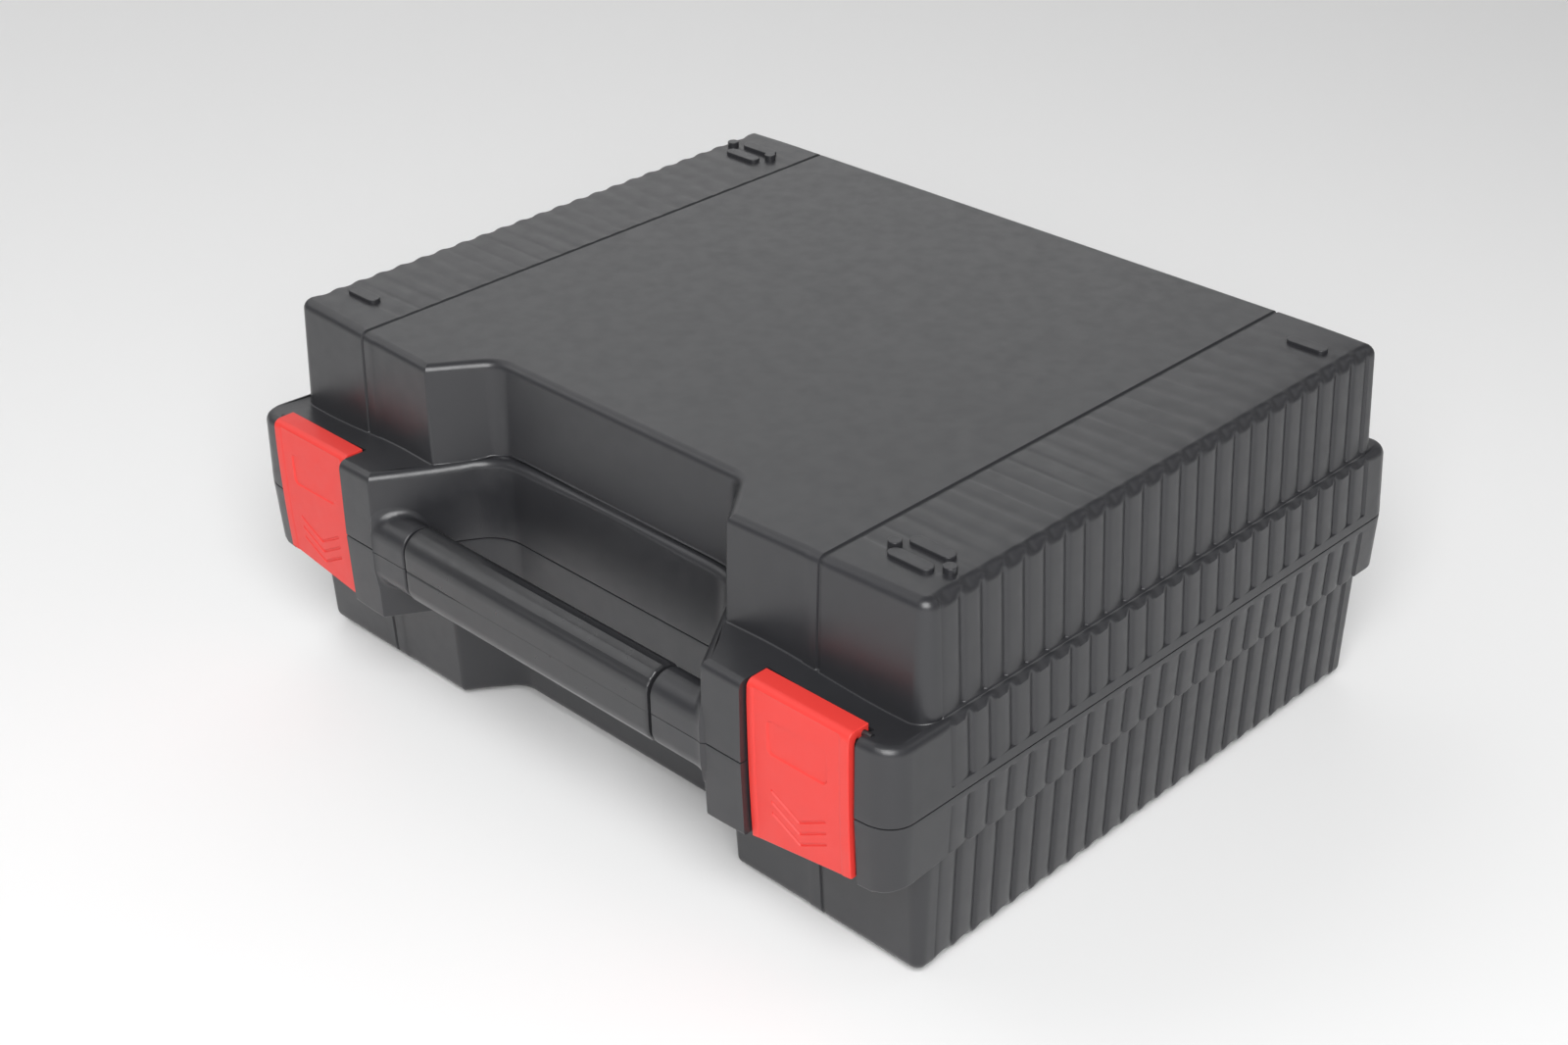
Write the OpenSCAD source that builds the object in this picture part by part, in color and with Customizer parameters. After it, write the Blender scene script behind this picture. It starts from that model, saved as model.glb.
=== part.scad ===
// Moulded tool case: two equal half shells hinged at the back, a carrying
// handle in a bay at the front, and two snap latches hung on the lid rim.
// Millimetres. X runs along the handle side, -Y is the handle side, +Z is up.
// The origin is under the middle of the closed case, on the ground.

/* [Overall] */
// Width of the case over the side rims
case_w = 353; // [343:5:363]
// Depth from the front line of the rim to its back face
case_d = 297; // [289:4:313]
// Height of one half shell, without its feet
half_h = 75; // [72:1:90]
// Thickness of the moulded walls
wall_t = 2.5; // [2:0.5:3]
// Height of the feet under the base
pad_h = 2; // [1:0.5:3]
// Height of the stacking pins on the lid (its bars are 1 mm lower)
top_pad_h = 2.4; // [1.4:0.5:2.9]
// Gap that shows between the two rims when the case is shut
part_gap = 0.5; // [0.4:0.1:0.8]

/* [Walls and rim] */
// How far the side walls stand inside the rim
side_step = 5; // [4:0.5:8]
// How far the front wall stands behind the front line of the rim
front_step = 24.5; // [24:0.5:26]
// How far the back wall stands inside the rim
back_step = 10; // [8:1:14]
// Height of the rim on each half at the sides and the back
rim_h = 30; // [29:1:31]
// Height of the rim on the lid at the front
rim_front_h = 33; // [32.5:0.5:34]
// Height of the rim on the base at the sides and the back
rim_base_h = 25.5; // [25:0.5:26.5]
// Plan radius of the rim corners
rim_r = 11; // [10:1:12]
// Plan radius of the wall corners
wall_r = 5; // [4:1:8]

/* [Ribs and grooves] */
// Number of ribs along each side
rib_n = 22; // [10:1:22]
// Distance from one rib to the next
rib_pitch = 10.7; // [9:0.1:10.7]
// Distance from the front of the rim to the first rib
rib_y0 = 43; // [42:1:46]
// How far a rib stands out
rib_h = 0.9; // [0.5:0.1:1.2]
// Distance of the two long grooves from the middle
groove_x = 125; // [122:1:130]
// Width of the long grooves
groove_w = 1.4; // [1:0.2:2]
// Depth of the long grooves
groove_t = 1; // [0.6:0.2:1.2]

/* [Handle] */
// Half length of the loose part of the grip
grip_half = 69; // [66:0.5:69]
// How far the loose part sits to the left of the middle
grip_off = 3.1; // [0:0.1:3.1]
// Gap between the grip and each stub
ring_gap = 1.3; // [1.1:0.1:1.5]
// Depth of the handle section, front to back
grip_d = 17.6; // [17:0.3:17.6]
// Height of the handle section
grip_tall = 31.6; // [30.6:0.5:32.1]
// Radius of the corners of the handle section
grip_r = 8.4; // [7.4:0.5:8.4]
// Diameter of the tube inside the grip
core_d = 11; // [9:1:11]

/* [Latches] */
// Width of a latch
latch_w = 46.8; // [43.8:1:46.8]
// Distance of the middle of a latch from the middle of the case
latch_x = 135.7; // [135.2:0.5:136.2]
// Thickness of a latch
latch_t = 3.4; // [3:0.2:3.4]
// How far the face of a latch stands behind the front line of the rim
latch_in = 1.5; // [1.1:0.2:1.7]
// Gap each side of a latch
latch_gap = 0.8; // [0.6:0.1:0.9]
// Diameter of a latch pin
latch_pin_d = 2.4; // [2:0.2:2.4]

/* [Hinges] */
// Distance of the middle of a hinge from the middle of the case
hinge_x = 95; // [70:5:110]
// Diameter of a hinge pin
hinge_pin_d = 3; // [2.5:0.5:3]
// Outer radius of a hinge knuckle
knuckle_r = 4.4; // [4:0.2:4.4]
// Length of the middle knuckle
knuckle_mid = 18; // [14:1:24]
// Length of each outer knuckle
knuckle_end = 12; // [10:1:14]
// Gap between two knuckles
knuckle_gap = 0.5; // [0.4:0.1:0.8]

/* [Hidden] */

body_col = "#3a3c40";
latch_col = "#e8413b";
steel_col = "#b8bcc0";

$fn = 48;
e = 0.01;
yh = case_d + 4.8;                       // hinge axis, from the rim's front line
grip_y = -2.3;                           // front of the handle section
yc = (yh + knuckle_r + grip_y) / 2;      // middle of the whole, from the rim's front line
zp = half_h;                             // parting plane
zt = 2 * half_h;                         // top of the lid
hx = case_w / 2 - rib_h;                 // rim, between the ribs
wx = hx - side_step;                     // wall, between the ribs
bay_y = 41.5;                            // rim line at the back of the handle bay
block_y = -1.3;                          // front of a block beside the handle
corner_y = 4.4;                          // front of a block, carried on to the side of the case
grip_z = zp - 0.6;                       // middle of the handle section
core_y = grip_y + grip_d / 2;            // middle of the tube, front to back
core_z = zp - 2.8;                       // middle of the tube, low enough to snap in
latch_py = 9;                            // latch pin, behind the rim's front line
latch_pz = zp + rim_front_h - 2.3;       // latch pin, height
latch_top = latch_pz + 2.6;              // top of the latch lip
latch_bot = [zp - 32.4, zp - 25.8];      // free lower edge of the latch, inboard and outboard

// ---- plan outlines ------------------------------------------------------
function unit(v) = v / norm(v);
function cr(a, b) = a[0] * b[1] - a[1] * b[0];
function xy(p) = [p[0], p[1]];

// Rounded polygon. Each vertex is [x, y, radius]; radius 0 stays a corner.
function rounded(P, n = 5) = let (m = len(P)) [
    for (i = [0 : m - 1])
        let (c = xy(P[i]), r = P[i][2])
        if (r <= 0) c
        else let (
            u = unit(xy(P[(i + m - 1) % m]) - c),
            v = unit(xy(P[(i + 1) % m]) - c),
            h = acos(u * v) / 2,
            o = c + unit(u + v) * r / sin(h),
            s = c + u * r / tan(h) - o,
            t = c + v * r / tan(h) - o,
            a = atan2(s[1], s[0]),
            d0 = atan2(t[1], t[0]) - a,
            d = d0 > 180 ? d0 - 360 : d0 < -180 ? d0 + 360 : d0)
        for (k = [0 : n]) o + r * [cos(a + d * k / n), sin(a + d * k / n)]
];

// The same outline moved inwards by d; the vertices run anticlockwise.
function inset(P, d) = let (m = len(P)) [
    for (i = [0 : m - 1])
        let (c = xy(P[i]),
             a = unit(c - xy(P[(i + m - 1) % m])),
             b = unit(xy(P[(i + 1) % m]) - c),
             p = [-a[1], a[0]], q = [-b[1], b[0]],
             w = c + d * (p + q) / (1 + p * q))
        [w[0], w[1], max(0.5, cr(a, b) > 0 ? P[i][2] - d : P[i][2] + d)]
];

// One side's ribs: shallow rounded bands with a narrow valley after each.
rib_prof = [[0, 0.02], [0.62, 0.14], [0.93, 0.3], [1, 0.46], [0.93, 0.62], [0.62, 0.78], [0, 0.9]];
function ribs_up(x) = [for (k = [0 : rib_n - 1]) for (q = rib_prof)
    [x + q[0] * rib_h, rib_y0 + (k + q[1]) * rib_pitch, 0]];
function ribs_down(x) = let (R = ribs_up(x)) [for (i = [len(R) - 1 : -1 : 0]) [-R[i][0], R[i][1], 0]];

// Rim line, with the handle bay at the front.
function rim_line(ribs) = concat(
    [[-hx, corner_y, rim_r], [-112.5, block_y, 0], [-92.7, block_y, 1.6], [-79, 20, 14], [-65, bay_y, 18],
     [65, bay_y, 18], [79, 20, 14], [92.7, block_y, 1.6], [112.5, block_y, 0], [hx, corner_y, rim_r]],
    ribs ? ribs_up(hx) : [],
    [[hx, case_d, rim_r - 1.5], [-hx, case_d, rim_r - 1.5]],
    ribs ? ribs_down(hx) : []);

// Wall line of either half. The middle of the front wall is set back a little.
function wall_line(ribs) = concat(
    [[-wx, front_step, wall_r], [-118, front_step, 0.4], [-117, front_step + 1, 0.4],
     [-81.4, front_step + 1, 2], [-66, bay_y + 3, 8],
     [66, bay_y + 3, 8], [81.4, front_step + 1, 2],
     [117, front_step + 1, 0.4], [118, front_step, 0.4], [wx, front_step, wall_r]],
    ribs ? ribs_up(wx) : [],
    [[wx, case_d - back_step, wall_r], [-wx, case_d - back_step, wall_r]],
    ribs ? ribs_down(wx) : []);

// Inner lines: the wall one and the rim one, both kept behind the front wall.
function wall_inner() = inset([[-wx, front_step, wall_r], [-81.4, front_step + 1, 2], [-66, bay_y + 3, 8],
     [66, bay_y + 3, 8], [81.4, front_step + 1, 2], [wx, front_step, wall_r],
     [wx, case_d - back_step, wall_r], [-wx, case_d - back_step, wall_r]], wall_t);
function rim_inner(d) = inset([[-hx, front_step - 0.5, rim_r], [-78, front_step - 0.5, 3], [-65.8, bay_y, 10],
     [65.8, bay_y, 10], [78, front_step - 0.5, 3], [hx, front_step - 0.5, rim_r],
     [hx, case_d, rim_r], [-hx, case_d, rim_r]], d);

module prism(L, z0, z1, n = 5) {
    translate([0, 0, z0]) linear_extrude(z1 - z0) polygon(rounded(L, n));
}

module box(x0, x1, y0, y1, z0, z1) {
    translate([x0, y0, z0]) cube([x1 - x0, y1 - y0, z1 - z0]);
}

module both() {
    children();
    mirror([1, 0, 0]) children();
}

module place() {
    translate([0, -yc, pad_h]) children();
}

// Cylinder along X, middle at x0 .. x1
module rod(x0, x1, y, z, r) {
    translate([x0, y, z]) rotate([0, 90, 0]) cylinder(h = x1 - x0, r = r);
}

// ---- shared details -------------------------------------------------------
// Handle section between two x positions, cut to a height band.
module handle_bar(x0, x1, z0, z1, in = 0) {
    intersection() {
        translate([x0, grip_y, 0]) rotate([90, 0, 90]) linear_extrude(x1 - x0)
            polygon(rounded([[in, grip_z - grip_tall / 2 + in, grip_r - in], [grip_d - in, grip_z - grip_tall / 2 + in, grip_r - in],
                             [grip_d - in, grip_z + grip_tall / 2 - in, grip_r - in], [in, grip_z + grip_tall / 2 - in, grip_r - in]], 6));
        box(x0 - 1, x1 + 1, grip_y - 1, grip_y + grip_d + 1, z0, z1);
    }
}

// The two ends of the handle that belong to the blocks; the stubs stand a
// little inside the loose part.
module stubs(z0, z1) {
    handle_bar(grip_half - grip_off + ring_gap, 95, z0, z1, 0.35);
    mirror([1, 0, 0]) handle_bar(grip_half + grip_off + ring_gap, 95, z0, z1, 0.35);
}

// Two long grooves that run over the lid from front to back and down the walls.
module groove_cut(z0, z1) {
    both() {
        box(groove_x - groove_w / 2, groove_x + groove_w / 2, front_step - 1, front_step + groove_t, z0, z1);
        box(groove_x - groove_w / 2, groove_x + groove_w / 2, case_d - back_step - groove_t, case_d - back_step + 1, z0, z1);
    }
}

// Stacking pads: one pair of bars with two pins, and one single bar, per side.
module bar_pad(x, y, l, h) {
    box(x - l / 2 + 2.75, x + l / 2 - 2.75, y - 2.75, y + 2.75, -0.5, h);
    for (s = [-1, 1]) translate([x + s * (l / 2 - 2.75), y, -0.5]) cylinder(h = h + 0.5, r = 2.75);
}
module pin_pad(x, y, h) {
    translate([x, y, -0.5]) cylinder(h = h + 0.5, r = 2.5);
}
module pads(m, h, hb) {
    for (t = [0, 1])
        translate([0, t * (front_step + case_d - back_step - 0.5), 0]) rotate([0, 0, t * 180]) scale([m, 1, 1]) {
            bar_pad(147.7, 43.3, 18.8, hb);
            bar_pad(147.9, 54, 18.8, hb);
            pin_pad(137, 47.5, h);
            pin_pad(161, 47.5, h);
            bar_pad(-151.2, 46.6, 17.4, hb);
        }
}

// Three hollow cells behind a latch, with two stiffening webs between them.
module cells(z0, z1) {
    box(97, latch_x - 17, 7.5, front_step - 3, z0, z1);
    box(latch_x - 15, latch_x + 15, 7.5, front_step - 3, z0, z1);
    box(latch_x + 17, hx - wall_t - 4.5, 7.5, front_step - 3, z0, z1);
}

// Pocket for one latch, open at the front; the lip's part reaches further back.
module pocket(z0, z1, lip) {
    x0 = latch_x - latch_w / 2 - latch_gap;
    x1 = latch_x + latch_w / 2 + latch_gap;
    box(x0, x1, -5, latch_in + latch_t + 1, z0, z1);
    if (lip) box(x0, x1, -5, latch_py + 3.9, latch_pz - 3.1, z1);
}

// Lower edge of the base rim along the front: deepest beside the handle, rising
// to the sides.
module front_band() {
    h = rim_base_h;
    intersection() {
        prism(rim_line(false), zp - 34, zp - h + e);
        translate([0, bay_y + 2, 0]) rotate([90, 0, 0]) linear_extrude(bay_y + 6)
            polygon([[-hx, zp - h], [-160, zp - h - 1.5], [-112, zp - h - 5], [-90, zp - h - 5.9], [-78, zp - h - 5.5], [-66, zp - h - 3.5],
                     [66, zp - h - 3.5], [78, zp - h - 5.5], [90, zp - h - 5.9], [112, zp - h - 5], [160, zp - h - 1.5], [hx, zp - h],
                     [hx, zp - h + 1], [-hx, zp - h + 1]]);
    }
}

// ---- base -------------------------------------------------------------------
module base_shell() {
    color(body_col) difference() {
        union() {
            prism(wall_line(true), 0, zp - rim_base_h + 1);
            prism(rim_line(true), zp - rim_base_h, zp - 3);
            prism(rim_line(false), zp - 3 - e, zp - part_gap / 2);
            front_band();
            // dust lip inside the lid rim
            difference() {
                prism(rim_inner(wall_t + 0.4), zp - 6, zp + 3);
                prism(rim_inner(wall_t + 1.8), zp - 7, zp + 4);
            }
            stubs(0, zp - part_gap / 2);
            base_knuckles();
            mirror([0, 0, 1]) pads(-1, pad_h, pad_h);
        }
        // inside of the wall and of the rim
        prism(wall_inner(), wall_t, zp + 5);
        difference() {
            prism(rim_inner(wall_t), zp - rim_base_h + wall_t, zp - 4);
            box(-100, 100, 0, 10, 0, zp);
        }
        prism(rim_inner(wall_t + 1.8), zp - rim_base_h + wall_t, zp + 5);
        groove_cut(-1, zp - rim_base_h);
        both() {
            cells(zp - rim_base_h + wall_t, zp + 1);
            // latch pocket and the window whose upper edge is the catch
            pocket(30, zp + 1, false);
            box(latch_x - 12, latch_x + 12, 0, 7.6, zp - 18.5, zp - 13);
        }
        // saddle for the handle tube
        both() rod(60, 86, core_y, core_z, core_d / 2);
        both() box(60, 86, core_y - core_d / 2 + 1, core_y + core_d / 2 - 1, core_z, zp + 5);
    }
}

module base_knuckles() {
    both() for (s = [-1, 1])
        translate([hinge_x + s * (knuckle_mid / 2 + knuckle_gap + knuckle_end / 2) - knuckle_end / 2, 0, 0])
            knuckle(knuckle_end, -1);
}

// Knuckle with its arm to the rim; s = -1 arm below the axis, 1 arm above.
module knuckle(l, s) {
    difference() {
        union() {
            rod(0, l, yh, zp, knuckle_r);
            translate([0, case_d - 1, s < 0 ? zp - 12 : zp + part_gap / 2]) rotate([90, 0, 90]) linear_extrude(l)
                polygon(s < 0 ? [[0, 0], [1, 0], [yh - case_d + 1 + knuckle_r * 0.6, 12 - knuckle_r * 0.8], [yh - case_d + 1, 12 - part_gap / 2], [0, 12 - part_gap / 2]]
                              : [[0, 0], [yh - case_d + 1, 0], [yh - case_d + 1 + knuckle_r * 0.6, knuckle_r * 0.8 - part_gap / 2], [1, 12], [0, 12]]);
        }
        rod(-1, l + 1, yh, zp, hinge_pin_d / 2 + (s > 0 ? 0.05 : 0));
    }
}

// ---- lid --------------------------------------------------------------------
module lid_shell() {
    color(body_col) difference() {
        union() {
            prism(wall_line(true), zp + 20, zt);
            prism(rim_line(true), zp + 4.4, zp + rim_h);
            prism(rim_line(false), zp + part_gap / 2, zp + 4.4 + e);
            // the rim stands a little higher along the front and round the bay
            intersection() {
                prism(rim_line(false), zp + rim_h - 1, zp + rim_front_h);
                box(-hx, hx, -4, front_step + 1, 0, zt);
            }
            intersection() {
                prism(rim_line(false), zp + rim_h - 1, zp + rim_front_h + 2.2);
                box(-75, 75, 30, bay_y + 4, 0, zt);
            }
            stubs(zp + part_gap / 2, zt);
            both() translate([hinge_x - knuckle_mid / 2, 0, 0]) knuckle(knuckle_mid, 1);
            translate([0, 0, zt]) pads(1, top_pad_h, top_pad_h - 1);
        }
        prism(wall_inner(), zp - 5, zt - wall_t);
        difference() {
            prism(rim_inner(wall_t), zp - 1, zp + rim_h - wall_t);
            box(-100, 100, 0, 10, 0, zt);
        }
        groove_cut(zp + rim_h - 5, zt + 1);
        both() box(groove_x - groove_w / 2, groove_x + groove_w / 2, front_step - 1, case_d - back_step + 1, zt - groove_t, zt + 1);
        both() {
            cells(zp - 1, zp + 24);
            // latch pocket, open at the front and the top
            pocket(zp - 1, zt, true);
            rod(latch_x - latch_w / 2 - latch_gap - 3, latch_x + latch_w / 2 + latch_gap + 3, latch_py, latch_pz, latch_pin_d / 2);
            // channel that clears the handle tube
            rod(60, 87, core_y, core_z, core_d / 2 + 0.5);
        }
    }
}

// ---- latches ------------------------------------------------------------------
module latch() {
    y0 = latch_in;
    y1 = latch_in + latch_t;
    w = latch_w / 2;
    difference() {
        union() {
            // plate; its lower edge hangs lower on the inboard side
            translate([0, y1, 0]) rotate([90, 0, 0]) linear_extrude(latch_t)
                polygon([[-w, latch_bot[0]], [w, latch_bot[1]], [w, latch_top], [-w, latch_top]]);
            box(-w, w, y0, latch_py + 2.5, latch_top - 1.5, latch_top);
            box(-w, w, y0, latch_py, latch_top - 3, latch_top);
            rod(-w, w, latch_py, latch_pz, 2.5);
            // hook that reaches under the catch
            translate([-9, y1 - e, 0]) rotate([90, 0, 90]) linear_extrude(18)
                polygon([[0, zp - 18], [1, zp - 17.6], [2.6, zp - 15], [2.6, zp - 13.45], [0, zp - 13.45]]);
        }
        rod(-w - 1, w + 1, latch_py, latch_pz, latch_pin_d / 2 + 0.05);
        // blank field and three arrow grooves on the face
        box(-14, 13.4, y0 - 1, y0 + 0.6, 83, 96.6);
        for (k = [0 : 2]) for (s = [-1, 1])
            translate([0, y0 + 0.5, 51.2 + k * 4.8]) rotate([0, -s * 28, 0])
                translate([s < 0 ? -14 : 0, -2, 0]) cube([14, 2, 1.4]);
    }
}

module latch_left() {
    color(latch_col) mirror([1, 0, 0]) translate([latch_x, 0, 0]) latch();
}

module latch_right() {
    color(latch_col) translate([latch_x, 0, 0]) latch();
}

module latch_pin() {
    color(steel_col) rod(latch_x - latch_w / 2 - latch_gap - 3, latch_x + latch_w / 2 + latch_gap + 3, latch_py, latch_pz, latch_pin_d / 2);
}

module latch_pin_left() {
    mirror([1, 0, 0]) latch_pin();
}

module latch_pin_right() {
    latch_pin();
}

// ---- hinge pins ----------------------------------------------------------------
module hinge_pin() {
    l = knuckle_mid + 2 * knuckle_gap + 2 * knuckle_end;
    color(steel_col) rod(hinge_x - l / 2, hinge_x + l / 2, yh, zp, hinge_pin_d / 2);
}

module hinge_pin_left() {
    mirror([1, 0, 0]) hinge_pin();
}

module hinge_pin_right() {
    hinge_pin();
}

// ---- handle ----------------------------------------------------------------------
module grip_half_bar(z0, z1) {
    difference() {
        handle_bar(-grip_half - grip_off, grip_half - grip_off, z0, z1);
        rod(-grip_half - grip_off - 1, grip_half - grip_off + 1, core_y, core_z, core_d / 2);
    }
}

module grip_upper() {
    color(body_col) grip_half_bar(zp + part_gap / 2, zt);
}

module grip_lower() {
    color(body_col) grip_half_bar(0, zp + part_gap / 2);
}

module grip_core() {
    color(steel_col) difference() {
        rod(-86, 86, core_y, core_z, core_d / 2);
        rod(-87, 87, core_y, core_z, core_d / 2 - 1.5);
    }
}

place() base_shell();
place() lid_shell();
place() latch_left();
place() latch_right();
place() latch_pin_left();
place() latch_pin_right();
place() hinge_pin_left();
place() hinge_pin_right();
place() grip_upper();
place() grip_lower();
place() grip_core();
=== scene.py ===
"""Hard tool case: the looks model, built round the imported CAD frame."""
import math

import bpy
import bmesh
import numpy as np
from mathutils import Matrix, Vector


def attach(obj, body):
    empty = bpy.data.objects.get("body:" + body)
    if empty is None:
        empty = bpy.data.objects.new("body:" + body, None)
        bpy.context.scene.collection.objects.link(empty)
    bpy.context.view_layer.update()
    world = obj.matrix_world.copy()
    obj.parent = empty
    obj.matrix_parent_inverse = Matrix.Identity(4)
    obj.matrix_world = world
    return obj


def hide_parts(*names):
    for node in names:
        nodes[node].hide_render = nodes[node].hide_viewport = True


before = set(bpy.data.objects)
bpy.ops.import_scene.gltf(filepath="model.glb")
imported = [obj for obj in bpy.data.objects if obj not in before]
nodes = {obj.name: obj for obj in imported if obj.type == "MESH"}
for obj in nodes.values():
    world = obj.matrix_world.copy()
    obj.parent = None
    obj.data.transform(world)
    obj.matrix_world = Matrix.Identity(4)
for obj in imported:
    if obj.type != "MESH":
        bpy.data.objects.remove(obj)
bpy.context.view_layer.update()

# Work is in millimetres. x: along the handle side. y: from the front face of
# the rim. h: height from the parting plane. case() turns these into the frame.
YC, ZB, HALF = 151.95, 2.0, 75.0


def case(P):
    P = np.asarray(P, float)
    return np.stack([P[:, 0], P[:, 1] - YC, P[:, 2] + ZB], 1) * 0.001


# ------------------------------------------------------------------ camera
def make_camera():
    az, el, roll = math.radians(45.233), math.radians(30.106), math.radians(-1.026)
    back = Vector((math.sin(az) * math.cos(el), -math.cos(az) * math.cos(el), math.sin(el)))
    right = Vector((math.cos(az), math.sin(az), 0.0))
    up = back.cross(right)
    R = math.cos(roll) * right + math.sin(roll) * up
    U = -math.sin(roll) * right + math.cos(roll) * up
    T = Vector((0, 147.0 - YC, 75.0 + ZB)) - 10.384 * right - 10.835 * up
    loc = (T + back * 950.667) * 0.001
    data = bpy.data.cameras.new("camera")
    data.lens = 2391.7 / 1600 * 36.0
    data.sensor_width = 36.0
    data.sensor_fit = "HORIZONTAL"
    data.clip_start, data.clip_end = 0.01, 50
    cam = bpy.data.objects.new("camera", data)
    bpy.context.scene.collection.objects.link(cam)
    m = Matrix((R, U, back)).transposed().to_4x4()
    m.translation = loc
    cam.matrix_world = m
    bpy.context.scene.camera = cam
    return cam


make_camera()


# ------------------------------------------------------------- plan curves
def smooth(a, b, v):
    t = np.clip((np.asarray(v, float) - a) / (b - a), 0, 1)
    return t * t * (3 - 2 * t)


def half_curve(V, arcs, lines):
    """Stations along the right half of an outline, front middle to back middle.
    V: vertices (x, y, corner radius). arcs: intervals on each corner.
    lines: for each straight, intervals or a list of ('x' or 'y', values)."""
    V = [(np.array(v[:2], float), v[2]) for v in V]
    pts, nor, seg = [], [], []
    starts, ends = [V[0][0]], []
    arcdata = []
    for i in range(1, len(V) - 1):
        c, r = V[i]
        u = V[i - 1][0] - c
        w = V[i + 1][0] - c
        u /= np.linalg.norm(u)
        w /= np.linalg.norm(w)
        half = math.acos(float(np.clip(u @ w, -1, 1))) / 2
        t = r / math.tan(half)
        o = c + (u + w) / np.linalg.norm(u + w) * r / math.sin(half)
        a, b = c + u * t, c + w * t
        ends.append(a)
        starts.append(b)
        a0 = math.atan2(a[1] - o[1], a[0] - o[0])
        a1 = math.atan2(b[1] - o[1], b[0] - o[0])
        d = (a1 - a0 + math.pi) % (2 * math.pi) - math.pi
        arcdata.append((o, r, a0, d))
    ends.append(V[-1][0])

    def add(p, n, s):
        pts.append(np.array(p, float))
        nor.append(np.array(n, float))
        seg.append(s)

    for i in range(len(starts)):
        p, q = starts[i], ends[i]
        L = q - p
        d = L / np.linalg.norm(L)
        n = np.array([d[1], -d[0]])
        spec = lines[i]
        if isinstance(spec, int):
            fr = np.linspace(0, 1, spec + 1)
        else:
            ax, vals, pre, post = spec
            k = 0 if ax == "x" else 1
            fv = [(v - p[k]) / (q[k] - p[k]) for v in vals]
            fr = np.concatenate([np.linspace(0, fv[0], pre + 1), fv[1:], np.linspace(fv[-1], 1, post + 1)[1:]])
        first = 0 if i == 0 else 1
        for f in fr[first:]:
            add(p + L * f, n, 2 * i)
        if i < len(arcdata):
            o, r, a0, dd = arcdata[i]
            sgn = 1.0 if dd > 0 else -1.0
            m = arcs[i]
            for k in range(1, m + 1):
                a = a0 + dd * k / m
                rad = np.array([math.cos(a), math.sin(a)])
                add(o + r * rad, rad * sgn, 2 * i + 1)
            nor[-m - 1] = np.array([math.cos(a0), math.sin(a0)]) * sgn
    return np.array(pts), np.array(nor), np.array(seg)


def full(A, flip):
    """Right half plus its mirror image: front middle, right, back middle, left."""
    B = A[1:-1][::-1].copy()
    if flip:
        B[:, 0] *= -1
    return np.concatenate([A, B])


RIB_N, RIB_P, RIB_Y = 23, 10.7, 33.25
RIB_F = [0.0, 0.04, 0.08, 0.13, 0.2, 0.3, 0.42, 0.54, 0.65, 0.75, 0.83, 0.895, 0.94]
RIB_C = {0.0: 0.0, 0.04: 0.5, 0.08: 0.8, 0.13: 0.94, 0.2: 1.0, 0.3: 1.0, 0.42: 0.97, 0.54: 0.9, 0.65: 0.8,
         0.75: 0.65, 0.83: 0.45, 0.895: 0.18, 0.94: 0.0}
rib_ys, rib_v = [], {}
for k in range(RIB_N):
    for f in RIB_F:
        y = round(RIB_Y + (k + f) * RIB_P, 5)
        rib_ys.append(y)
        rib_v[y] = 1 - RIB_C[f]
# the rib zone starts and ends flush
rib_v[rib_ys[0]] = 0.0
rib_ys[0:1] = [rib_ys[0]]
_last = round(RIB_Y + RIB_N * RIB_P, 5)
rib_v[rib_ys[-1]] = 0.6
rib_ys.append(_last)
rib_v[_last] = 0.0
RY = np.array(rib_ys)
RV = np.array([rib_v[y] for y in rib_ys])


def rib_valley(y):
    """0 on a rib's crest, 1 in the valley between two ribs."""
    return np.interp(y, RY, RV, left=0.0, right=0.0)


def rib_scallop(y):
    """0 in line with the gap between two ribs, 1 above the middle of a rib."""
    f = (np.asarray(y, float) - RIB_Y) / RIB_P
    return np.where((f > 0) & (f < RIB_N), 0.5 - 0.5 * np.cos(2 * np.pi * f), 0.0)


GX = 124.3                       # long grooves
GXS = [GX - 1.0, GX - 0.6, GX, GX + 0.6, GX + 1.0]
EX = [100, 104, 108, 112, 117.2, 117.8, 121] + GXS + [130, 138, 146, 154, 160]
KX = [160, 150, 140, 130] + GXS[::-1] + [120, 105, 90, 70, 45, 20]
ARCS = [7, 4, 6, 9, 9]
LINES = [8, 3, 2, ("x", EX, 1, 1), ("y", rib_ys, 4, 2), ("x", KX, 1, 1)]

RIM_V = [(0, 41.5, 0), (65.0, 41.5, 18), (79.0, 20, 14), (92.7, -1.3, 1.6), (176.4, 4.4, 11), (176.2, 297, 9.5), (0, 297, 0)]
WALL_V = [(0, 44.5, 0), (65.4, 44.5, 10), (73.8, 33.1, 14), (81.9, 22.0, 2.6), (171.6, 25.3, 7.5), (171.6, 287.2, 5.5), (0, 287.2, 0)]
IN_V = [(0, 44, 0), (68.4, 44, 9), (76.6, 34.2, 14), (83.6, 26.5, 3), (172.5, 26.5, 6), (172.5, 293.5, 9.5), (0, 293.5, 0)]


def offset_vertices(V, off):
    """The outline's vertices moved by off along its normals, radii to match."""
    P = [np.array(v[:2], float) for v in V]
    dirs = [(b - a) / np.linalg.norm(b - a) for a, b in zip(P[:-1], P[1:])]
    nrm = [np.array([d[1], -d[0]]) for d in dirs]
    out = [(*(P[0] + nrm[0] * off), 0.0)]
    for i in range(1, len(P) - 1):
        a, b = nrm[i - 1], nrm[i]
        q = P[i] + off * (a + b) / (1 + float(a @ b))
        turn = dirs[i - 1][0] * dirs[i][1] - dirs[i - 1][1] * dirs[i][0]
        out.append((q[0], q[1], max(0.35, V[i][2] + (off if turn > 0 else -off))))
    out.append((*(P[-1] + nrm[-1] * off), 0.0))
    return out


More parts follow.
